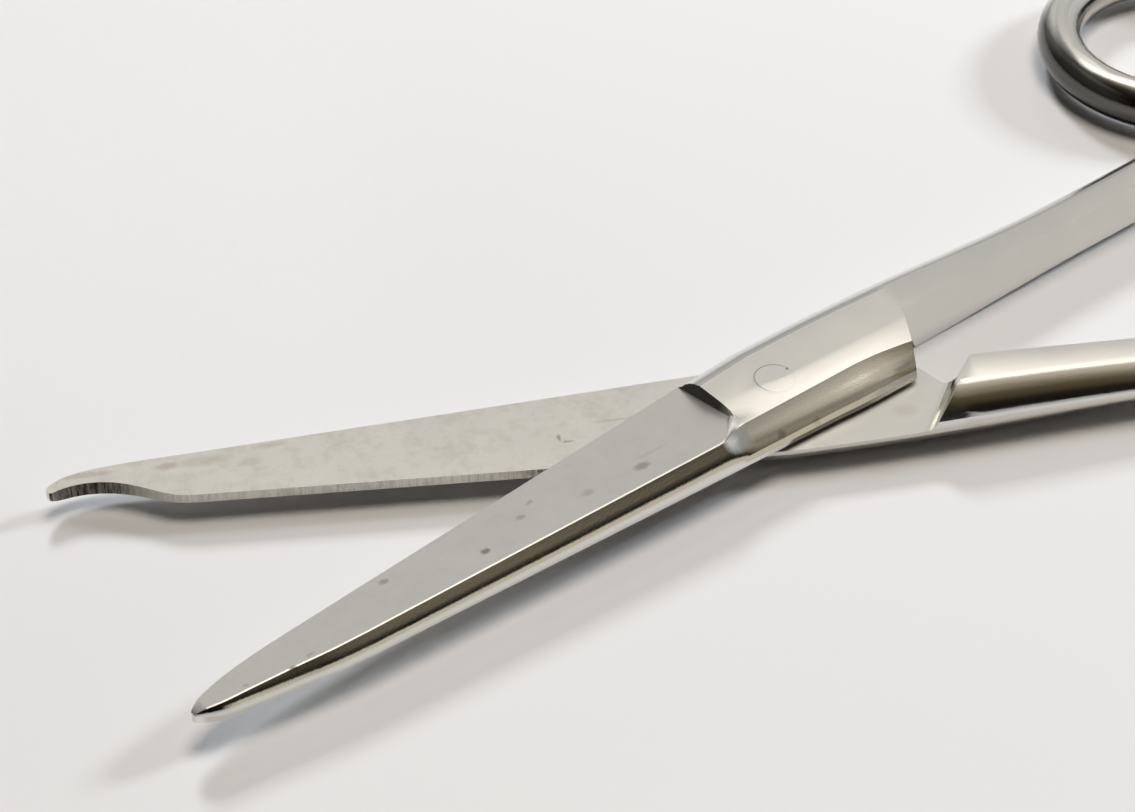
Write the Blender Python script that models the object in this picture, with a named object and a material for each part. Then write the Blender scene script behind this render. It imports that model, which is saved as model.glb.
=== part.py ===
"""Suture scissors: two forged halves in a lap joint on a flush pin, lying open on a table.

Sizes are in millimetres. The pivot is at the origin, the rings lie towards +X and the table is at z = 0.
Each half is drawn in its own frame: X along the closed scissors, Y towards the side that cuts,
Z up from the middle of the joint, with the half lying on top. The under half is that frame turned over.
"""

import math

import bmesh
import bpy
import numpy as np
from mathutils import Matrix

MM = 0.001

# The pair as a whole
OPENING = 27.5
THICKNESS = 4.4
LAP_GAP = 0.25
SHANK_GAP = 0.3

# Blades
HOOKED_LENGTH = 48.9
BLUNT_LENGTH = 47.0
EDGE_AT_PIN = 4.95
EDGE_TAPER = 0.085
BACK_AT_PIN = 4.15
BACK_TAPER = 0.039
BEVEL_HEIGHT = 0.72
BEVEL_LEAN = 0.05
FACET_SLOPE = 0.165
BLADE_SIDE_RUN = 1.2
SIDE_RUN_TAPER = 0.012
SIDE_RUN_SHARE = 0.16
BLADE_SIDE_TILT = 48.0
RIDGE_WIDTH = 0.12
RIDGE_SHARE = 0.08
TIP_DROOP = 0.5
DROOP_REACH = 0.9

# Outline near each tip: (distance behind the tip, Y), up to where the straight blade takes over
HOOK_EDGE = ((0.0, -0.62), (0.32, -0.35), (0.95, -0.62), (1.7, -0.83), (2.9, -0.92), (4.6, -0.6),
             (6.0, 0.05), (7.2, 0.78), (8.2, 1.32))
HOOK_BACK = ((0.0, -0.74), (0.3, -1.2), (1.0, -1.7), (2.4, -2.13), (4.9, -2.44))
HOOK_REACH = 9.3
BLUNT_EDGE = ((0.0, -0.36), (0.65, 0.12), (1.6, 0.5), (2.8, 0.86), (4.5, 1.2))
BLUNT_BACK = ((0.0, -0.54), (0.34, -0.92), (0.8, -1.24), (1.55, -1.52), (3.9, -1.86), (6.6, -2.2))
BLUNT_REACH = 11.0

# Boss and the step in front of the pin
FRONT_STEP = 4.5
STEP_LEAN = 0.16
CROWN_START = 0.45
CROWN_ADVANCE = 0.85
CROWN_ADVANCE_END = 2.0
CROWN_AT_STEP = 1.45
CREASE = 2.05
CREASE_DROP = 0.3
CROWN_RUNOUT = 2.8
CROWN_BULGE = 0.04
CREASE_SPREAD = 0.95
BOSS_SIDE_TILT = 35.0
BOSS_BULGE = 0.25
BULGE_AT = 5.5
BOSS_INSET = 2.8

# Lap joint: the step wall of each shank and the rear end of the other half's boss
STEP_FOOT = 12.0
STEP_PROFILE = ((0.0, 0.0), (0.35, 0.05), (0.65, 0.2), (0.9, 0.48), (1.06, 0.85), (1.25, 1.3))
STEP_TOP_LEAN = 0.42
STEP_SLANT = 0.6
REAR_GAP = 0.05

# Shanks
SIDE_ARC = 72.0
SIDE_RUN = 2.1
SHANK_OUTER = 3.9
SHANK_NARROWING = (3.0, 30.0)
SHANK_THICKNESS = 3.3
SHANK_THINNING = (12.0, 31.0)

# Finger rings
RING_CENTRE = (55.6, 12.9)
RING_SEMI = (10.35, 9.75)
ROD_WIDTH = 3.5
ROD_HEIGHT = 3.7
ROD_BURIED = 0.7
NECK_START = 39.0
NECK_PAST = 2.0

# Pin
PIN_DIAMETER = 2.0
HEAD_DIAMETER = 2.75
HEAD_DEPTH = 0.7
PIN_GAP = 0.06

# How finely each shape is divided
SIDE_STEPS = 6
TOP_STEPS = 4
CROWN_STEPS = 5
BACK_STEPS = 7
RING_STEPS = 56
ROD_STEPS = 18
PIN_STEPS = 40

HALF = THICKNESS / 2
MATING = LAP_GAP / 2
INNER = SHANK_GAP / 2
BELOW = MATING - 0.7
BEYOND = 8.0


def clear_scene():
    for item in list(bpy.data.objects):
        bpy.data.objects.remove(item, do_unlink=True)


def through(points, at):
    """Smooth curve through a few (position, value) points."""
    xs = np.array([p[0] for p in points])
    ys = np.array([p[1] for p in points])
    slopes = np.gradient(ys, xs)
    i = int(np.clip(np.searchsorted(xs, at) - 1, 0, len(xs) - 2))
    span = xs[i + 1] - xs[i]
    t = min(max((at - xs[i]) / span, 0.0), 1.0)
    start = (1 + 2 * t) * (1 - t) ** 2 * ys[i] + t * (1 - t) ** 2 * span * slopes[i]
    end = t * t * (3 - 2 * t) * ys[i + 1] - t * t * (1 - t) * span * slopes[i + 1]
    return float(start + end)


def blend(t):
    """0 to 1 with level ends."""
    t = min(max(t, 0.0), 1.0)
    return t * t * (3 - 2 * t)


def straight_edge(x):
    return EDGE_AT_PIN + EDGE_TAPER * x


def straight_back(x):
    return -(BACK_AT_PIN + BACK_TAPER * x)


def tip_outline(points, behind, reach, straight):
    """Y of an outline that follows the tip's points, then runs into the straight blade.

    The curve is drawn over the square root of the distance, which makes a round nose.
    """
    if behind >= reach:
        return straight(behind)
    joined = [(math.sqrt(d), y) for d, y in points]
    joined += [(math.sqrt(d), straight(d)) for d in (reach, reach * 1.3)]
    return through(joined, math.sqrt(behind))


def blade_sides(x, length, edge_points, back_points, reach):
    """Y of the cutting edge and of the back at this station."""
    behind = x + length
    cut = tip_outline(edge_points, behind, reach, lambda d: straight_edge(d - length))
    back = tip_outline(back_points, behind, reach, lambda d: straight_back(d - length))
    return cut, back


def facet_height(x, y):
    """The blade's ground facet rises from the bevel towards the back."""
    return MATING + BEVEL_HEIGHT + FACET_SLOPE * (straight_edge(x) - y)


def arc(start, end, steps, bulge):
    """Points from start to end, standing out by bulge at the middle."""
    found = []
    for i in range(steps + 1):
        t = i / steps
        y = start[0] + (end[0] - start[0]) * t
        z = start[1] + (end[1] - start[1]) * t + bulge * 4 * t * (1 - t)
        found.append((y, z))
    return found


def back_curve(ridge, foot, tilt):
    """Convex side from the ridge, where it leaves at the tilt, down to its widest line."""
    pull = 0.4 * math.dist(ridge, foot)
    lean = math.radians(tilt)
    near = (ridge[0] - pull * math.cos(lean), ridge[1] - pull * math.sin(lean))
    far = (foot[0], foot[1] + pull)
    found = []
    for i in range(BACK_STEPS + 1):
        t = i / BACK_STEPS
        weights = ((1 - t) ** 3, 3 * t * (1 - t) ** 2, 3 * t * t * (1 - t), t**3)
        corners = (ridge, near, far, foot)
        found.append(tuple(sum(w * c[k] for w, c in zip(weights, corners)) for k in (0, 1)))
    return found


def round_side(outer, half, steps):
    """Rounded outer side, from the middle of the thickness up to its crease with the flat top."""
    full = math.radians(SIDE_ARC)
    found = []
    for i in range(steps + 1):
        t = full * i / steps
        y = outer - SIDE_RUN * (1 - math.cos(t)) / (1 - math.cos(full))
        z = half * math.sin(t) / math.sin(full)
        found.append((y, z))
    return found


def blade_section(x, sides, droop):
    """Closed outline of the blade across X. What lies below the mating face is ground away later."""
    cut, back = sides

    def top(y):
        return MATING + (facet_height(x, y) - MATING) * droop

    width = cut - back
    run = min(BLADE_SIDE_RUN + SIDE_RUN_TAPER * x, SIDE_RUN_SHARE * width)
    near = blend((x + FRONT_STEP + CROWN_RUNOUT) / CROWN_RUNOUT)
    ridge_y = back + run
    ridge_y += near * (-CREASE - ridge_y)
    crown = min(RIDGE_WIDTH, RIDGE_SHARE * width)
    crown += near * near * (CROWN_AT_STEP - crown)
    top_y = ridge_y + crown
    ridge_z = top(ridge_y) - 0.3 * min(RIDGE_WIDTH, crown)
    ridge_z += near * (HALF - CREASE_DROP - ridge_z)
    strip = [(cut - BEVEL_LEAN * i / SIDE_STEPS, BELOW + (top(cut) - BELOW) * i / SIDE_STEPS)
             for i in range(SIDE_STEPS + 1)]
    facet = [(y, top(y)) for y in np.linspace(strip[-1][0], top_y, TOP_STEPS + 1)]
    crowned = []
    for i in range(1, CROWN_STEPS):
        t = i / CROWN_STEPS
        high = top(top_y) + near * (HALF - top(top_y))
        risen = high + (ridge_z - high) * t + CROWN_BULGE * 4 * t * (1 - t) * near
        z = top(top_y) + (risen - top(top_y)) * (1 - near * (1 - t) ** 4)
        crowned.append((top_y + (ridge_y - top_y) * t, z))
    tilt = BLADE_SIDE_TILT + (BOSS_SIDE_TILT - BLADE_SIDE_TILT) * near
    side = back_curve((ridge_y, ridge_z), (back, MATING * (1 - near)), tilt)
    low = [(y, BELOW) for y in np.linspace(back, cut, SIDE_STEPS + 3)]
    return strip + facet[1:] + crowned + side + low[:-1]


def bar_outer(x):
    """Y of the rounded outer side of boss and shank."""
    if x < 0:
        return straight_edge(x)
    start, end = SHANK_NARROWING
    return EDGE_AT_PIN + (SHANK_OUTER - EDGE_AT_PIN) * blend((x - start) / (end - start))


def bar_half(x):
    """Half the thickness of boss and shank."""
    start, end = SHANK_THINNING
    return HALF + (SHANK_THICKNESS / 2 - HALF) * blend((x - start) / (end - start))


def bar_section(x):
    """Closed outline of boss and shank: flat top, crown, crease and rounded sides, the same below."""
    half = bar_half(x)
    inset = BOSS_INSET * blend((x - STEP_FOOT - BEYOND / 4) / BEYOND)
    back = straight_back(min(x, 0.0)) - BOSS_BULGE * blend(x / BULGE_AT) + inset
    crease = min(-CREASE - CREASE_SPREAD * blend((x - BULGE_AT) / BEYOND) + inset, -CROWN_START - 0.2)
    from_step = (x + FRONT_STEP) / (CROWN_ADVANCE_END + FRONT_STEP)
    crown = CROWN_ADVANCE * (1 - blend(from_step)) - CROWN_START
    side = round_side(bar_outer(x), half, SIDE_STEPS)
    flat = [(y, half) for y in np.linspace(side[-1][0], crown, TOP_STEPS + 1)]
    crowned = arc((crown, half), (crease, half - CREASE_DROP), CROWN_STEPS, CROWN_BULGE)
    back_side = back_curve((crease, half - CREASE_DROP), (back, 0), BOSS_SIDE_TILT)
    low = [(back, -half), ((back + side[-1][0]) / 2, -half)]
    low_side = [(y, -z) for y, z in reversed(side)]
    return side + flat[1:] + crowned[1:-1] + back_side + low + low_side[:-1]


def oval(middle, reach, half):
    """Oval outline with the same points in order as the other sections."""
    above = SIDE_STEPS + TOP_STEPS + CROWN_STEPS - 1 + BACK_STEPS + 1
    below = SIDE_STEPS + 2
    turns = [math.pi * i / above for i in range(above + 1)]
    turns += [math.pi * (1 + i / (below + 1)) for i in range(1, below + 1)]
    return [(middle + reach * math.cos(a), half * math.sin(a)) for a in turns]


def neck_section(x):
    """The shank turns into the round rod of the ring and its end is buried in it."""
    ring_near = RING_CENTRE[1] - RING_SEMI[1] - ROD_WIDTH / 2
    end = RING_CENTRE[0] + NECK_PAST
    t = (x - NECK_START) / (end - NECK_START)
    inner = INNER + (ring_near + ROD_BURIED - INNER) * t**1.35
    outer = SHANK_OUTER + (ring_near + ROD_WIDTH - ROD_BURIED - SHANK_OUTER) * t * t
    thin = (ROD_HEIGHT / 2 - ROD_BURIED - SHANK_THICKNESS / 2) * blend(2 * t - 1)
    return oval((inner + outer) / 2, (outer - inner) / 2, SHANK_THICKNESS / 2 + thin)


def mixed(first, second, t):
    return [(a[0] + (b[0] - a[0]) * t, a[1] + (b[1] - a[1]) * t) for a, b in zip(first, second)]


def blank_rows(length, edge_points, back_points, reach):
    """Every cross-section of one forged half, from the tip to the end that is buried in the ring."""
    rows = []
    behind = [0.0, 0.05, 0.18, 0.4, 0.75, 1.2, 1.8, 2.6, 3.5, 4.4, 5.3, 6.1, 6.9, 7.6, 8.4, 9.6, 12.0]
    shares = (1.4, 1.0, 0.85, 0.7, 0.55, 0.4, 0.25, STEP_LEAN / CROWN_RUNOUT)
    root = [-FRONT_STEP - CROWN_RUNOUT * share for share in shares]
    stations = [d - length for d in behind]
    stations += list(np.linspace(stations[-1], root[0], 5)[1:-1]) + root
    for x in stations:
        droop = TIP_DROOP + (1 - TIP_DROOP) * math.sqrt(min((x + length) / DROOP_REACH, 1.0))
        sides = blade_sides(x, length, edge_points, back_points, reach)
        rows.append((x, blade_section(x, sides, droop)))
    for x in (-FRONT_STEP, -3.0, -1.5, 0.0, 2.0, 4.0, BULGE_AT, 7.5, 9.0, 10.5, 12.0, 13.5, 15.5, 18.0,
              21.0, 24.0, 27.0, 30.0, 33.0, 36.0):
        rows.append((x, bar_section(x)))
    end = RING_CENTRE[0] + NECK_PAST
    for x in np.linspace(NECK_START, end, 9):
        mix = blend((x - NECK_START + 4) / 8)
        rows.append((x, mixed(bar_section(x), neck_section(x), mix)))
    return rows


def mesh_from(verts, faces):
    mesh = bpy.data.meshes.new("mesh")
    mesh.from_pydata([(x * MM, y * MM, z * MM) for x, y, z in verts], [], faces)
    made = bmesh.new()
    made.from_mesh(mesh)
    bmesh.ops.recalc_face_normals(made, faces=made.faces)
    made.to_mesh(mesh)
    made.free()
    return mesh


def loft(rings, closed=False):
    """Skins rings of points that match one to one. Open ends get a flat cap."""
    count = len(rings[0])
    verts = [point for ring in rings for point in ring]
    faces = []
    for i in range(len(rings) if closed else len(rings) - 1):
        here = i * count
        there = (i + 1) % len(rings) * count
        for j in range(count):
            k = (j + 1) % count
            faces.append((here + j, here + k, there + k, there + j))
    if not closed:
        faces.append(tuple(range(count)))
        faces.append(tuple(range(len(verts) - count, len(verts))))
    return mesh_from(verts, faces)


def cutter(name, mesh):
    made = bpy.data.objects.new(name, mesh)
    bpy.context.collection.objects.link(made)
    made.hide_render = True
    made.display_type = "WIRE"
    return made


def lap_cutter():
    """Everything below the mating face, up to the step wall, which is slanted across the shank."""
    profile = [(STEP_FOOT + s, MATING - rise) for s, rise in STEP_PROFILE]
    last_x, last_z = profile[-1]
    deep = -HALF - BEYOND
    profile.append((last_x + STEP_TOP_LEAN * (last_z - deep), deep))
    far = -HOOKED_LENGTH - BEYOND
    profile += [(far, deep), (far, MATING)]
    rings = []
    for y in (-BEYOND, BEYOND):
        shift = -STEP_SLANT * (y - INNER)
        rings.append([(x + shift if x > 0 else x, y, z) for x, z in profile])
    return cutter("cut_lap", loft(rings))


def shank_cutter():
    """Everything beyond the middle of the pair, from the slanted rear end of the boss to the ring."""
    foot = STEP_FOOT - REAR_GAP
    plan = [(foot, INNER), (foot - STEP_SLANT * (BEYOND + INNER), -BEYOND)]
    plan += [(NECK_START + BEYOND, -BEYOND), (NECK_START + BEYOND, INNER)]
    rings = [[(x, y, z) for x, y in plan] for z in (-BEYOND, BEYOND)]
    return cutter("cut_shank", loft(rings))


def turned(levels, steps):
    """Round solid about the pivot axis from (radius, height) levels."""
    rings = []
    for radius, z in levels:
        angles = [2 * math.pi * i / steps for i in range(steps)]
        rings.append([(radius * math.cos(a), radius * math.sin(a), z) for a in angles])
    return loft(rings)


def pin_cutter():
    """Hole with a countersink for the pin's spread head."""
    hole = PIN_DIAMETER / 2 + PIN_GAP
    head = HEAD_DIAMETER / 2 + PIN_GAP
    rate = (head - hole) / HEAD_DEPTH
    levels = [(hole, -BEYOND), (hole, HALF - HEAD_DEPTH), (head + rate, HALF + 1)]
    return cutter("cut_pin", turned(levels, PIN_STEPS))


def ring_mesh():
    rings = []
    for i in range(RING_STEPS):
        a = 2 * math.pi * i / RING_STEPS
        out = np.array([math.cos(a) / RING_SEMI[0], math.sin(a) / RING_SEMI[1]])
        out /= np.linalg.norm(out)
        middle = np.array(RING_CENTRE) + np.array([RING_SEMI[0] * math.cos(a), RING_SEMI[1] * math.sin(a)])
        ring = []
        for j in range(ROD_STEPS):
            b = 2 * math.pi * j / ROD_STEPS
            x, y = middle + out * (ROD_WIDTH / 2 * math.cos(b))
            ring.append((x, y, ROD_HEIGHT / 2 * math.sin(b)))
        rings.append(ring)
    return loft(rings, closed=True)


def boolean(target, other, operation):
    modifier = target.modifiers.new(other.name, "BOOLEAN")
    modifier.operation = operation
    modifier.solver = "EXACT"
    modifier.object = other


def steel(name, colour, roughness):
    material = bpy.data.materials.new(name)
    material.use_nodes = True
    shader = material.node_tree.nodes["Principled BSDF"]
    shader.inputs["Base Color"].default_value = (*colour, 1)
    shader.inputs["Roughness"].default_value = roughness
    shader.inputs["Metallic"].default_value = 1.0
    return material


def shade(made, sharp_above):
    """Smooth shading, with every edge sharper than the angle kept sharp."""
    mesh = made.data
    shape = bmesh.new()
    shape.from_mesh(mesh)
    for face in shape.faces:
        face.smooth = True
    for edge in shape.edges:
        edge.smooth = len(edge.link_faces) == 2 and edge.calc_face_angle() < math.radians(sharp_above)
    shape.to_mesh(mesh)
    shape.free()


def half(name, rows, cutters, colour):
    """One forged half in its own frame: blank, ring, ground lap, ground inner side and pin hole."""
    rings = [[(x, y, z) for y, z in section] for x, section in rows]
    made = bpy.data.objects.new(name, loft(rings))
    bpy.context.collection.objects.link(made)
    for other in cutters:
        boolean(made, other, "UNION" if other.name == "add_ring" else "DIFFERENCE")
    graph = bpy.context.evaluated_depsgraph_get()
    mesh = bpy.data.meshes.new_from_object(made.evaluated_get(graph))
    made.modifiers.clear()
    made.data = mesh
    made.data.materials.clear()
    made.data.materials.append(steel(name + "_steel", colour, 0.28))
    shade(made, 24)
    return made


def build():
    clear_scene()
    cutters = [lap_cutter(), shank_cutter(), cutter("add_ring", ring_mesh()), pin_cutter()]
    hooked = blank_rows(HOOKED_LENGTH, HOOK_EDGE, HOOK_BACK, HOOK_REACH)
    blunt = blank_rows(BLUNT_LENGTH, BLUNT_EDGE, BLUNT_BACK, BLUNT_REACH)
    under = half("under_half", hooked, cutters, (0.60, 0.60, 0.57))
    top = half("top_half", blunt, cutters, (0.62, 0.62, 0.58))
    levels = [(HEAD_DIAMETER / 2, -HALF), (PIN_DIAMETER / 2, HEAD_DEPTH - HALF),
              (PIN_DIAMETER / 2, HALF - HEAD_DEPTH), (HEAD_DIAMETER / 2, HALF)]
    pin = bpy.data.objects.new("pivot_pin", turned(levels, PIN_STEPS))
    bpy.context.collection.objects.link(pin)
    pin.data.materials.append(steel("pin_steel", (0.64, 0.64, 0.60), 0.24))
    shade(pin, 24)
    swing = math.radians(OPENING / 2)
    lift = Matrix.Translation((0, 0, HALF * MM))
    under.matrix_world = lift @ Matrix.Rotation(-swing, 4, "Z") @ Matrix.Rotation(math.pi, 4, "X")
    top.matrix_world = lift @ Matrix.Rotation(swing, 4, "Z")
    pin.matrix_world = lift
    for other in cutters:
        bpy.data.objects.remove(other, do_unlink=True)


build()
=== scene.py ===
import math

import bmesh
import bpy
import numpy as np
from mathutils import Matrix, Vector


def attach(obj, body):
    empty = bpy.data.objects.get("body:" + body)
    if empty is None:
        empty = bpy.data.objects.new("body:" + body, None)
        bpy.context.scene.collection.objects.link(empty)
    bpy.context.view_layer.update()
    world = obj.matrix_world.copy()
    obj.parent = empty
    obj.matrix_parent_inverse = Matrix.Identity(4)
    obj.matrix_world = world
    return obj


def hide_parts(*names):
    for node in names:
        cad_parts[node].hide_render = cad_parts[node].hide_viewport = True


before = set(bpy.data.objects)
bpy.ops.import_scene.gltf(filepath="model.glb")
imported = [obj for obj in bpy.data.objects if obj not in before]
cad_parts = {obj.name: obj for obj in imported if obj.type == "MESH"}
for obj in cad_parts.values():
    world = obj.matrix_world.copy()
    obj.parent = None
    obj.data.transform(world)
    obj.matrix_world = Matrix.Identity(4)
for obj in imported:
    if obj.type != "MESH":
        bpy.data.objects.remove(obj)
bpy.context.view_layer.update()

# The under half. One forging of hardened stainless steel: hooked blade, lapped boss, shank and ring.
# Its flats are ground satin, its rounds polished, and its mating face carries old stains. The pivot
# pin, spread at both ends, holds it under the top half.


def forging(node_name, turn):
    """Merged copy of a CAD node: corners that share a place become one point, triangles without area go.

    An edge stays sharp where its faces meet at more than the ground angle on the ground blade and boss,
    or more than the round angle on the polished shank and ring, which start 12.5 mm behind the pin.
    """
    places_per_metre = 1e7
    level_angle = math.radians(0.2)
    ground_angle = math.radians(13)
    round_angle = math.radians(26)
    shank_start = 0.0125
    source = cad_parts[node_name].data
    source.calc_loop_triangles()
    places = np.empty(len(source.vertices) * 3)
    source.vertices.foreach_get("co", places)
    places = places.reshape(-1, 3)
    corners = np.empty(len(source.loop_triangles) * 3, np.int32)
    source.loop_triangles.foreach_get("vertices", corners)
    _, first, merged = np.unique(np.round(places * places_per_metre).astype(np.int64), axis=0,
                                 return_index=True, return_inverse=True)
    faces = merged.reshape(-1)[corners].reshape(-1, 3)
    whole = (faces[:, 0] != faces[:, 1]) & (faces[:, 1] != faces[:, 2]) & (faces[:, 0] != faces[:, 2])
    mesh = bpy.data.meshes.new(node_name + "_forging")
    mesh.from_pydata(places[first].tolist(), [], faces[whole].tolist())
    shape = bmesh.new()
    shape.from_mesh(mesh)
    bmesh.ops.dissolve_limit(shape, angle_limit=level_angle, verts=shape.verts, edges=shape.edges)
    along = Vector((math.cos(turn), math.sin(turn), 0))
    for face in shape.faces:
        face.smooth = True
    for edge in shape.edges:
        limit = ground_angle if edge.verts[0].co.dot(along) < shank_start else round_angle
        edge.smooth = len(edge.link_faces) == 2 and edge.calc_face_angle() < limit
    shape.to_mesh(mesh)
    shape.free()
    return mesh


def broken_edges(piece, width):
    """The burr of every ground edge is broken: a fine round of that width in metres."""
    bevel = piece.modifiers.new("broken_edges", "BEVEL")
    bevel.width = width
    bevel.segments = 2
    bevel.limit_method = "ANGLE"
    bevel.angle_limit = math.radians(24)
    bevel.harden_normals = True


def linear(colour):
    """sRGB hex to linear: divide by 12.92 below the toe, otherwise the power 2.4 of the scaled value."""
    values = [int(colour[i:i + 2], 16) / 255 for i in (1, 3, 5)]
    return [v / 12.92 if v <= 0.04045 else ((v + 0.055) / 1.055) ** 2.4 for v in values] + [1.0]


def add(tree, kind, inputs=None, **settings):
    """Adds one node with its settings, and gives each input a value or links it to a socket."""
    made = tree.nodes.new(kind)
    for name, value in settings.items():
        setattr(made, name, value)
    for name, value in (inputs or {}).items():
        if isinstance(value, bpy.types.NodeSocket):
            tree.links.new(value, made.inputs[name])
        else:
            made.inputs[name].default_value = value
    return made


# Half the joint's thickness in mm: the two halves meet at this height over the table
HALF = 2.2


def ground_stainless(name, turn, spots, stained, bevel_side, seam):
    """Martensitic stainless steel of surgical instruments, ground flat and glazed with a fine wheel.

    The flats scatter light as satin and the polished rounds mirror the room in long bands. The
    cutting bevel was ground across, so it glitters in short upright lines. Spots are (along, across,
    half length, half width, strength) in mm, bevel_side says to which side the cutting edge lies, and
    seam is the radius in mm of the hairline round the pin, or 0 for none.
    """
    made = bpy.data.materials.new(name)
    made.use_nodes = True
    tree = made.node_tree
    tree.nodes.clear()
    # The half's own frame in mm: along it from the pin towards the ring, across it, and up
    place = add(tree, "ShaderNodeTexCoord").outputs["Object"]
    own = add(tree, "ShaderNodeMapping", {"Vector": place, "Rotation": (0, 0, -turn),
                                          "Scale": (1000, 1000, 1000)}).outputs[0]
    parts = add(tree, "ShaderNodeSeparateXYZ", {0: own})
    normal = add(tree, "ShaderNodeNewGeometry").outputs["Normal"]
    facing = add(tree, "ShaderNodeSeparateXYZ", {0: normal}).outputs[2]
    level = add(tree, "ShaderNodeMath", {0: facing}, operation="ABSOLUTE").outputs[0]
    # 1 where a face lies level, 0 where it leans more than about 20 degrees
    flat = add(tree, "ShaderNodeMapRange", {"Value": level, "From Min": 0.93, "From Max": 0.98}).outputs[0]
    # 1 on the blade, fading out between 9 and 6 mm before the pin
    blade = add(tree, "ShaderNodeMapRange", {"Value": parts.outputs[0],
                                             "From Min": -6.0, "From Max": -9.0}).outputs[0]

    # Handling and cleaning leave cloudy patches some 4 mm across, of slightly different gloss
    cloud = add(tree, "ShaderNodeTexNoise", {"Vector": own, "Scale": 0.28, "Detail": 4.0,
                                             "Roughness": 0.6}).outputs[0]
    # The polishing wheel left marks along each half, 0.1 to 0.3 mm apart and many millimetres long
    along = add(tree, "ShaderNodeMapping", {"Vector": own, "Scale": (0.1, 4.0, 4.0)}).outputs[0]
    drawn = add(tree, "ShaderNodeTexNoise", {"Vector": along, "Scale": 1.0, "Detail": 3.0,
                                             "Roughness": 0.7}).outputs[0]
    # Grit of the grinding wheel, about 0.08 mm, drawn twice as coarse as it is so that it shows
    grit = add(tree, "ShaderNodeTexNoise", {"Vector": own, "Scale": 6.0, "Detail": 2.0,
                                            "Roughness": 0.7}).outputs[0]
    # The cutting bevel was ground across its edge, which leaves hatching about 0.25 mm apart
    across = add(tree, "ShaderNodeMapping", {"Vector": own, "Scale": (4.0, 0.25, 0.5)}).outputs[0]
    hatch = add(tree, "ShaderNodeTexNoise", {"Vector": across, "Scale": 1.0, "Detail": 3.0,
                                             "Roughness": 0.75}).outputs[0]
    edge_way = (-bevel_side * math.sin(turn), bevel_side * math.cos(turn), 0)
    edgeward = add(tree, "ShaderNodeVectorMath", {0: normal, 1: edge_way}, operation="DOT_PRODUCT")
    upright = add(tree, "ShaderNodeMapRange", {"Value": edgeward.outputs["Value"],
                                               "From Min": 0.8, "From Max": 0.95}).outputs[0]
    bevel = add(tree, "ShaderNodeMath", {0: upright, 1: blade}, operation="MULTIPLY").outputs[0]
    # The lap behind the joint was ground across too, more finely
    lap = add(tree, "ShaderNodeMath", {0: parts.outputs[2], 1: HALF, 2: 0.06},
              operation="COMPARE").outputs[0]
    behind_joint = add(tree, "ShaderNodeMapRange", {"Value": parts.outputs[0],
                                                    "From Min": 2.0, "From Max": 5.0}).outputs[0]
    lap = add(tree, "ShaderNodeMath", {0: lap, 1: behind_joint}, operation="MULTIPLY").outputs[0]
    lap = add(tree, "ShaderNodeMath", {0: lap, 1: flat}, operation="MULTIPLY").outputs[0]
    lap = add(tree, "ShaderNodeMath", {0: lap, 1: 0.4}, operation="MULTIPLY").outputs[0]
    ground_across = add(tree, "ShaderNodeMath", {0: bevel, 1: lap}, operation="MAXIMUM").outputs[0]

    # Water spots and corrosion blooms with ragged rims
    ragged = add(tree, "ShaderNodeTexNoise", {"Vector": own, "Scale": 3.0, "Detail": 3.0}).outputs["Color"]
    pushed = add(tree, "ShaderNodeVectorMath", {0: ragged, 1: (0.5, 0.5, 0.5)},
                 operation="SUBTRACT").outputs[0]
    strayed = add(tree, "ShaderNodeVectorMath", {0: pushed, 1: (0.35, 0.35, 0), 2: own},
                  operation="MULTIPLY_ADD").outputs[0]
    stain = 0.0
    for u, v, half_length, half_width, strength in spots:
        near = add(tree, "ShaderNodeVectorMath", {0: strayed, 1: (u, v, 0)}, operation="SUBTRACT").outputs[0]
        scaled = add(tree, "ShaderNodeVectorMath", {0: near, 1: (1 / half_length, 1 / half_width, 0)},
                     operation="MULTIPLY").outputs[0]
        far = add(tree, "ShaderNodeVectorMath", {0: scaled}, operation="LENGTH").outputs["Value"]
        spot = add(tree, "ShaderNodeMapRange", {"Value": far, "From Min": 1.4, "From Max": 0.6,
                                                "To Max": strength}).outputs[0]
        stain = add(tree, "ShaderNodeMath", {0: spot, 1: stain}, operation="MAXIMUM").outputs[0]
    upward = add(tree, "ShaderNodeMapRange", {"Value": facing, "From Min": 0.3, "From Max": 0.6}).outputs[0]
    stain = add(tree, "ShaderNodeMath", {0: stain, 1: upward}, operation="MULTIPLY").outputs[0]
    # Mottling: a thin film of dried stain, denser where liquid stood on the blade
    patches = add(tree, "ShaderNodeTexNoise", {"Vector": own, "Scale": 0.75, "Detail": 6.0,
                                               "Roughness": 0.68}).outputs[0]
    film = add(tree, "ShaderNodeMapRange", {"Value": patches, "From Min": 0.46, "From Max": 0.72,
                                            "To Max": stained}).outputs[0]
    film = add(tree, "ShaderNodeMath", {0: film, 1: blade}, operation="MULTIPLY").outputs[0]
    film = add(tree, "ShaderNodeMath", {0: film, 1: flat}, operation="MULTIPLY").outputs[0]

    steel = add(tree, "ShaderNodeMix", {0: cloud, 6: linear("#e1e0dc"), 7: linear("#e8e7e3")},
                data_type="RGBA").outputs[2]
    filmed = add(tree, "ShaderNodeMix", {0: film, 6: steel, 7: linear("#b3b0a4")},
                 data_type="RGBA").outputs[2]
    spotted = add(tree, "ShaderNodeMix", {0: stain, 6: filmed, 7: linear("#877468")},
                  data_type="RGBA").outputs[2]
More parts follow.
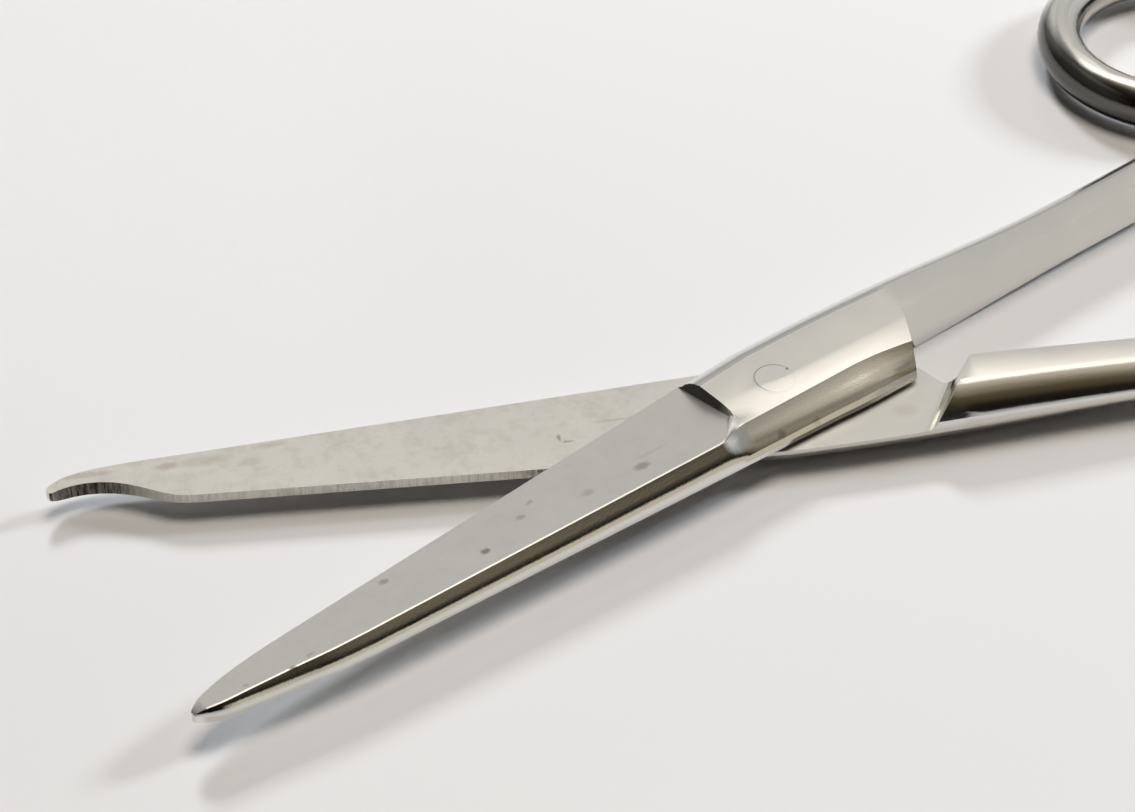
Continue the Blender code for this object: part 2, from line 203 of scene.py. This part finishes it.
    # Painted shade: the cutting bevel in the notch behind the hook is darkened, standing in for the shadow
    # that the notch wall mirrors
    notch_shade = add(tree, "ShaderNodeMapRange", {"Value": parts.outputs[0], "From Min": -40.6,
                                             "From Max": -42.6}).outputs[0]
    notch_shade = add(tree, "ShaderNodeMath", {0: notch_shade, 1: 0.8, 2: -0.05}, operation="MULTIPLY_ADD").outputs[0]
    hatch_marks_and_notch_shade = add(tree, "ShaderNodeMapRange", {"Value": hatch, "From Min": 0.35, "From Max": 0.6,
                                                "To Min": 0.35, "To Max": 0.0}).outputs[0]
    hatch_marks_and_notch_shade = add(tree, "ShaderNodeMath", {0: hatch_marks_and_notch_shade, 1: notch_shade}, operation="ADD",
                   use_clamp=True).outputs[0]
    hatch_marks_and_notch_shade = add(tree, "ShaderNodeMath", {0: hatch_marks_and_notch_shade, 1: ground_across}, operation="MULTIPLY").outputs[0]
    # Dark grinding lines on the bevel, together with the painted shade in the notch behind the hook
    hatched_and_notch_shaded = add(tree, "ShaderNodeMix", {0: hatch_marks_and_notch_shade, 6: spotted, 7: linear("#3d3830")},
                  data_type="RGBA").outputs[2]

    # Painted shade: the corner of the front step is painted near black, standing in for the dark pocket that
    # the step wall mirrors
    tipward = add(tree, "ShaderNodeVectorMath", {0: normal, 1: (-math.cos(turn), -math.sin(turn), 0)},
                  operation="DOT_PRODUCT").outputs["Value"]
    step_face = add(tree, "ShaderNodeMapRange", {"Value": tipward, "From Min": 0.3,
                                                 "From Max": 0.55}).outputs[0]
    at_step = add(tree, "ShaderNodeMapRange", {"Value": parts.outputs[0], "From Min": -9.0,
                                               "From Max": -8.0}).outputs[0]
    far_end = add(tree, "ShaderNodeMapRange", {"Value": parts.outputs[1], "From Min": -1.2, "From Max": 0.4,
                                               "To Max": 0.85}).outputs[0]
    step_pocket_shade = add(tree, "ShaderNodeMath", {0: step_face, 1: at_step}, operation="MULTIPLY").outputs[0]
    step_pocket_shade = add(tree, "ShaderNodeMath", {0: step_pocket_shade, 1: far_end}, operation="MULTIPLY").outputs[0]
    # Mixes in the painted shade of the front step's corner
    colour = add(tree, "ShaderNodeMix", {0: step_pocket_shade, 6: hatched_and_notch_shaded, 7: linear("#1f1c18")},
                 data_type="RGBA").outputs[2]

    gloss = add(tree, "ShaderNodeMapRange", {"Value": flat, "To Min": 0.05, "To Max": 0.3}).outputs[0]
    cloudy = add(tree, "ShaderNodeMath", {0: cloud, 1: 0.08, 2: gloss}, operation="MULTIPLY_ADD").outputs[0]
    streaky = add(tree, "ShaderNodeMath", {0: drawn, 1: 0.06, 2: cloudy}, operation="MULTIPLY_ADD").outputs[0]
    dulled = add(tree, "ShaderNodeMath", {0: stain, 1: 0.25, 2: streaky}, operation="MULTIPLY_ADD").outputs[0]
    lines = add(tree, "ShaderNodeBump", {"Height": drawn, "Strength": 0.02, "Distance": 0.0001}).outputs[0]
    grain = add(tree, "ShaderNodeBump", {"Height": grit, "Strength": 0.05, "Distance": 0.0001,
                                         "Normal": lines}).outputs[0]
    deep = add(tree, "ShaderNodeMath", {0: hatch, 1: ground_across}, operation="MULTIPLY").outputs[0]
    scored = add(tree, "ShaderNodeBump", {"Height": deep, "Strength": 0.9, "Distance": 0.0002,
                                          "Normal": grain}).outputs[0]
    if seam:
        # Hairline between the spread head and the boss, drawn 0.08 mm wide so that it shows: open on
        # one side, closed by the peening on the other
        open_side = (-0.27, 0.69, 0)
        out = add(tree, "ShaderNodeVectorMath", {0: own, 1: (1, 1, 0)}, operation="MULTIPLY").outputs[0]
        radius = add(tree, "ShaderNodeVectorMath", {0: out}, operation="LENGTH").outputs["Value"]
        off = add(tree, "ShaderNodeMath", {0: radius, 1: seam}, operation="SUBTRACT").outputs[0]
        off = add(tree, "ShaderNodeMath", {0: off}, operation="ABSOLUTE").outputs[0]
        line = add(tree, "ShaderNodeMapRange", {"Value": off, "From Min": 0.055, "From Max": 0.02}).outputs[0]
        open_way = add(tree, "ShaderNodeVectorMath", {0: out, 1: open_side}, operation="DOT_PRODUCT")
        opened = add(tree, "ShaderNodeMapRange", {"Value": open_way.outputs["Value"],
                                                  "From Min": -0.45, "From Max": 0.25,
                                                  "To Min": 0.06, "To Max": 0.62}).outputs[0]
        line = add(tree, "ShaderNodeMath", {0: line, 1: opened}, operation="MULTIPLY").outputs[0]
        colour = add(tree, "ShaderNodeMix", {0: line, 6: colour, 7: linear("#4c443c")},
                     data_type="RGBA").outputs[2]
    shader = add(tree, "ShaderNodeBsdfPrincipled", {"Base Color": colour, "Metallic": 1.0,
                                                    "Roughness": dulled, "Normal": scored})
    add(tree, "ShaderNodeOutputMaterial", {"Surface": shader.outputs[0]})
    return made


# Each half lies turned by half the angle at which the pair lies open
half_turn = math.radians(27.5 / 2)
under = bpy.data.objects.new("under_half_steel", forging("under_half", -half_turn))
bpy.context.scene.collection.objects.link(under)
broken_edges(under, width=0.00006)
under_spots = ((-40.9, 1.6, 0.8, 0.35, 0.35), (-38.6, 1.7, 1.6, 0.5, 0.25), (-35.4, 1.0, 0.7, 0.4, 0.2),
               (-46.3, 1.75, 1.8, 0.25, 0.3), (-34.0, 2.4, 1.0, 0.25, 0.25),
               (-14.9, -0.6, 0.12, 0.35, 0.6), (-14.4, -1.1, 0.35, 0.12, 0.5),
               (-10.5, 0.5, 1.8, 0.12, 0.2), (8.6, -2.4, 0.8, 0.6, 0.15))
under.data.materials.append(ground_stainless("stained_ground_stainless", -half_turn, under_spots,
                                             stained=0.35, bevel_side=-1, seam=0))
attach(under, "under_body")
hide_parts("under_half")

# The top half. The twin of the under half turned over, with a plain blade and a blunt round tip.
# Its facet and boss were ground after forging, and water has left small brown spots on the facet.
# It turns on the same pin, which holds it down on the under half.
top = bpy.data.objects.new("top_half_steel", forging("top_half", half_turn))
bpy.context.scene.collection.objects.link(top)
broken_edges(top, width=0.00008)
top_spots = ((-12.3, -0.82, 0.55, 0.33, 0.5), (-16.6, -0.53, 0.4, 0.3, 0.25), (-21.3, 0.5, 0.3, 0.25, 0.4),
             (-19.9, 1.38, 0.25, 0.2, 0.35), (-25.1, -0.74, 0.3, 0.25, 0.7), (-31.5, 1.43, 0.35, 0.25, 0.5),
             (-38.9, -1.26, 0.3, 0.15, 0.3), (-40.4, -1.62, 0.25, 0.2, 0.7), (-43.4, -0.87, 0.2, 0.15, 0.3),
             (-10.9, 0.0, 1.2, 0.15, 0.12), (-2.5, -3.6, 0.3, 0.2, 0.4), (0.4, -3.9, 0.3, 0.2, 0.25))
top.data.materials.append(ground_stainless("spotted_ground_stainless", half_turn, top_spots,
                                           stained=0.12, bevel_side=1, seam=0))
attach(top, "top_body")
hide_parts("top_half")

# The pivot pin. A steel rivet whose two ends were spread into countersinks and ground flush with
# the bosses. Only a hairline shows where its head meets the boss. It is drawn fast in the under half.

# In mm: the radius of a head and of the shaft, the depth of a countersink, how far a head stands
# proud of its boss so that it covers it, and half the height of the one band left in the middle
HEAD = 1.46
SHAFT = 1.0
SINK = 0.7
PROUD = 0.004
WAIST = 0.05
HEAD_RINGS = 12
AROUND = 96


def boss_top(x, y):
    """Height of the ground boss over its middle plane: level, then falling in a low arc towards the crease.

    The line where the arc starts wanders by 0.85 mm in a smooth step, from 0.4 mm on the one side of
    the pin's middle to 0.45 mm on the other. All in mm, in the half's own frame.
    """
    step_start = -4.5
    step_length = 6.5
    wander = 0.85
    last_start = -0.45
    crease = 2.05
    fall = 0.3
    bulge = 0.04
    t = np.clip((x - step_start) / step_length, 0, 1)
    start = wander * (1 - t * t * (3 - 2 * t)) + last_start
    along = np.clip((start - y) / (start + crease), 0, 1)
    return HALF - fall * along + bulge * 4 * along * (1 - along)


def rivet(rows, count):
    """Turned surface from the top's middle, out over the head, down the shaft and in again below.

    Each row is (radius, height, share of the boss's shape that the height follows). Above, that is the
    top half's boss, and below the under half's, which is the same form turned over.
    """
    angle = np.linspace(0, 2 * np.pi, count, endpoint=False)
    radius, level, share = [column[:, None] for column in np.array(rows, float).T]
    x = radius * np.cos(angle)
    y = radius * np.sin(angle)
    side = np.sign(level)
    own_x = x * np.cos(half_turn) + side * y * np.sin(half_turn)
    own_y = side * y * np.cos(half_turn) - x * np.sin(half_turn)
    z = level + side * (boss_top(own_x, own_y) - HALF) * share
    rings = np.stack([x, y, z + HALF], axis=-1) * 0.001
    i, j = np.meshgrid(np.arange(len(rows) - 1), np.arange(count), indexing="ij")
    k = (j + 1) % count
    quads = np.stack([i * count + j, (i + 1) * count + j, (i + 1) * count + k, i * count + k], axis=-1)
    mesh = bpy.data.meshes.new("pivot_pin_surface")
    mesh.from_pydata(rings.reshape(-1, 3).tolist(), [], quads.reshape(-1, 4).tolist())
    shape = bmesh.new()
    shape.from_mesh(mesh)
    bmesh.ops.remove_doubles(shape, verts=shape.verts, dist=1e-7)
    bmesh.ops.recalc_face_normals(shape, faces=shape.faces)
    shape.to_mesh(mesh)
    shape.free()
    mesh.shade_smooth()
    mesh.set_sharp_from_angle(angle=math.radians(30))
    return mesh


pin_spots = ((1.3, 0.22, 0.16, 0.1, 0.7),)
upper = [(HEAD * i / HEAD_RINGS, HALF + PROUD, 1) for i in range(HEAD_RINGS + 1)]
upper += [(SHAFT, HALF - SINK, 0), (SHAFT, WAIST, 0)]
lower = [(radius, -height, share) for radius, height, share in reversed(upper)]
pin = bpy.data.objects.new("pivot_pin_steel", rivet(upper + lower, AROUND))
bpy.context.scene.collection.objects.link(pin)
pin.data.materials.append(ground_stainless("peened_stainless", half_turn, pin_spots,
                                           stained=0.0, bevel_side=1, seam=1.375))
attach(pin, "under_body")
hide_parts("pivot_pin")

# The table. A wide white laminate top with a soft gloss, which mirrors the steel faintly.
# It isn't part of the object.


def pressed_laminate(name):
    """White melamine laminate, pressed smooth: hardly any colour, and a soft gloss with faint mirroring."""
    made = bpy.data.materials.new(name)
    made.use_nodes = True
    tree = made.node_tree
    tree.nodes.clear()
    place = add(tree, "ShaderNodeTexCoord").outputs["Object"]
    wide = add(tree, "ShaderNodeTexNoise", {"Vector": place, "Scale": 9.0, "Detail": 2.0}).outputs[0]
    tone = add(tree, "ShaderNodeMix", {0: wide, 6: linear("#e8e8e8"), 7: linear("#ededee")},
               data_type="RGBA").outputs[2]
    shader = add(tree, "ShaderNodeBsdfPrincipled", {"Base Color": tone, "Roughness": 0.18, "IOR": 1.45})
    add(tree, "ShaderNodeOutputMaterial", {"Surface": shader.outputs[0]})
    return made


# In metres: the table's edges, and its level, a hair under the steel so that no two faces coincide
reach = np.array([-1.5, 1.5])
table_level = -0.00005
across_x, across_y = np.meshgrid(reach, reach, indexing="ij")
corners = np.stack([across_x, across_y, np.full_like(across_x, table_level)], axis=-1).reshape(-1, 3)
table_mesh = bpy.data.meshes.new("table_top")
table_mesh.from_pydata(corners.tolist(), [], [(0, 2, 3, 1)])
table = bpy.data.objects.new("table_top", table_mesh)
bpy.context.scene.collection.objects.link(table)
table.data.materials.append(pressed_laminate("white_laminate"))

# The room, which is what the steel mirrors: a pale far wall under a bright ceiling panel, a tan wall
# with a dark band on the right, a grey one that is white above on the left, and a dim near side. It
# lights nothing by itself, because the lamps do that.
heading = math.radians(24.95)
ahead = Vector((math.sin(heading), math.cos(heading), 0))
aside = Vector((math.cos(heading), -math.sin(heading), 0))
room = bpy.data.worlds.new("room")
bpy.context.scene.world = room
room.use_nodes = True
room.cycles_visibility.diffuse = False
tree = room.node_tree
tree.nodes.clear()
way = add(tree, "ShaderNodeTexCoord").outputs["Generated"]
height = add(tree, "ShaderNodeSeparateXYZ", {0: way}).outputs[2]
forward = add(tree, "ShaderNodeVectorMath", {0: way, 1: ahead}, operation="DOT_PRODUCT").outputs["Value"]
sideways = add(tree, "ShaderNodeVectorMath", {0: way, 1: aside}, operation="DOT_PRODUCT").outputs["Value"]
# Each wall's colours by height, from 0 at the table's level to 1 straight up
far_colours = ((0.0, "#a3a2a0"), (0.1, "#bdbcb9"), (0.22, "#cfcfcc"), (0.45, "#dcdcd9"),
               (0.58, "#a6a6a4"), (0.74, "#a0a09d"), (0.82, "#cfc5b3"))
right_colours = ((0.0, "#cfc5b2"), (0.25, "#d6cdbb"), (0.3, "#0c0b0a"), (0.39, "#14120f"),
                 (0.47, "#453f35"), (0.57, "#7f7563"), (0.76, "#b1a691"), (0.95, "#d9d0c0"))
near_colours = ((0.0, "#050505"), (0.2, "#060504"), (0.5, "#272219"), (0.82, "#5f5340"),
                (0.98, "#b0a592"))
left_colours = ((0.0, "#5c5853"), (0.56, "#827d75"), (0.7, "#ffffff"))
walls = []
for stops in (far_colours, right_colours, near_colours, left_colours):
    band = add(tree, "ShaderNodeValToRGB", {0: height})
    while len(band.color_ramp.elements) < len(stops):
        band.color_ramp.elements.new(0.5)
    for element, (position, colour) in zip(band.color_ramp.elements, stops):
        element.position = position
        element.color = linear(colour)
    walls.append(band.outputs[0])
far_wall, right_wall, near_side, left_wall = walls
to_right = add(tree, "ShaderNodeMapRange", {"Value": sideways, "From Min": 0.62, "From Max": 0.74}).outputs[0]
to_far = add(tree, "ShaderNodeMapRange", {"Value": forward, "From Min": -0.1, "From Max": 0.15}).outputs[0]
to_left = add(tree, "ShaderNodeMapRange", {"Value": sideways, "From Min": -0.6, "From Max": -0.85}).outputs[0]
behind = add(tree, "ShaderNodeMix", {0: to_right, 6: near_side, 7: right_wall}, data_type="RGBA").outputs[2]
around = add(tree, "ShaderNodeMix", {0: to_far, 6: behind, 7: far_wall}, data_type="RGBA").outputs[2]
around = add(tree, "ShaderNodeMix", {0: to_left, 6: around, 7: left_wall}, data_type="RGBA").outputs[2]
over = add(tree, "ShaderNodeMapRange", {"Value": height, "From Min": 0.74, "From Max": 0.83}).outputs[0]
beyond = add(tree, "ShaderNodeMapRange", {"Value": forward, "From Min": 0.22, "From Max": 0.4,
                                          "To Max": 2.1}).outputs[0]
panel = add(tree, "ShaderNodeMath", {0: over, 1: beyond}, operation="MULTIPLY").outputs[0]
air = add(tree, "ShaderNodeBackground", {"Color": around, "Strength": 0.9}).outputs[0]
ceiling = add(tree, "ShaderNodeBackground", {"Color": linear("#fff8f2"), "Strength": panel}).outputs[0]
both = add(tree, "ShaderNodeAddShader", {0: air, 1: ceiling}).outputs[0]
add(tree, "ShaderNodeOutputWorld", {"Surface": both})

# The lamps. Two windows behind the scissors cast the two soft shadows on the table, a warm lamp
# overhead casts the darker one close under the steel, and a wide ceiling light fills. The steel
# doesn't mirror them, because the room already stands for what they show.


LAMP_DISTANCE = 0.7


def soft_lamp(name, sideways, back, up, size, power, colour):
    """A square light in that direction from the object, facing it. Lengths in metres, power in watts."""
    lamp = bpy.data.lights.new(name, "AREA")
    lamp.shape = "SQUARE"
    lamp.size = size
    lamp.energy = power
    lamp.color = linear(colour)[:3]
    made = bpy.data.objects.new(name, lamp)
    way_out = (aside * sideways + ahead * back + Vector((0, 0, up))).normalized()
    made.location = way_out * LAMP_DISTANCE
    made.rotation_euler = (-way_out).to_track_quat("-Z", "Y").to_euler()
    made.visible_glossy = False
    bpy.context.scene.collection.objects.link(made)


soft_lamp("left_window", -0.76, 3.1, 2.3, size=0.13, power=2.8, colour="#f2f8ff")
soft_lamp("right_window", 4.07, 2.03, 2.3, size=0.13, power=2.5, colour="#f2f8ff")
soft_lamp("ceiling_lamp", 0.1, 0.12, 1.0, size=0.3, power=2.5, colour="#fff4e7")
soft_lamp("ceiling", 0.0, 0.0, 1.0, size=2.0, power=0.5, colour="#fff4e7")

# The camera, at the photo's angle: 40 degrees above the table and 200 mm from the point that it aims
# at. Its focal length was found in pixels of the photo.
elevation = math.radians(40.2)
aim = Vector((-0.01168, 0.00792, 0.0))
distance = 0.2
focal_px = 2904
photo_width_px = 1135
lens = bpy.data.cameras.new("camera")
camera = bpy.data.objects.new("camera", lens)
bpy.context.scene.collection.objects.link(camera)
looking = ahead * math.cos(elevation) - Vector((0, 0, math.sin(elevation)))
camera.location = aim - looking * distance
camera.rotation_euler = looking.to_track_quat("-Z", "Y").to_euler()
lens.sensor_width = 36
lens.lens = focal_px * lens.sensor_width / photo_width_px
lens.clip_start = 0.01
bpy.context.scene.camera = camera
bpy.context.scene.view_settings.view_transform = "Standard"

bpy.context.view_layer.update()
